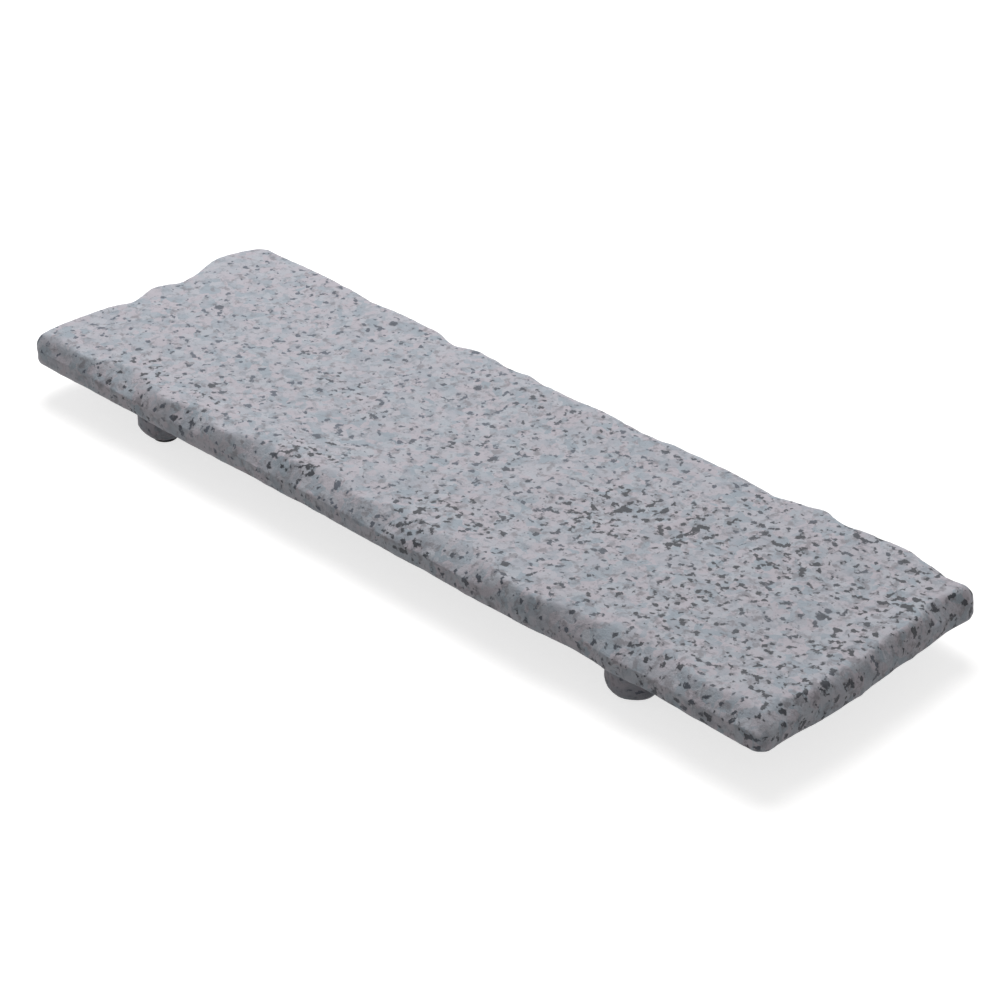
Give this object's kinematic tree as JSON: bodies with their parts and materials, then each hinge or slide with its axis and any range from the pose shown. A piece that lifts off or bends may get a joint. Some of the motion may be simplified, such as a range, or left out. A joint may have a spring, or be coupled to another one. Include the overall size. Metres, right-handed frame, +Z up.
{
  "type": "gongfu tea tray",
  "caption": "Long, narrow dry-brew tea tray: a hand-dressed speckled granite slab with a shallow bed, standing on short round stone feet.",
  "frame": {"origin": "on the table, under the middle of the tray's box", "axes": "+X along the slab to its right end, +Y to the back edge, +Z up"},
  "size_m": [0.353, 0.11, 0.0248],
  "materials": {
    "granite": "light grey speckled granite, hand-dressed and honed matt",
    "foot_granite": "the same granite, turned and left matt",
    "epoxy": "cured clear-grey stone epoxy",
    "pad_rubber": "thin dark non-slip rubber"
  },
  "bodies": {
    "root": {"slab": "granite", "foot_front_left": "foot_granite", "foot_front_right": "foot_granite", "foot_rear_left": "foot_granite", "foot_rear_right": "foot_granite", "bond_front_left": "epoxy", "bond_front_right": "epoxy", "bond_rear_left": "epoxy", "bond_rear_right": "epoxy", "pad_front_left": "pad_rubber", "pad_front_right": "pad_rubber", "pad_rear_left": "pad_rubber", "pad_rear_right": "pad_rubber"}
  },
  "joints": []
}
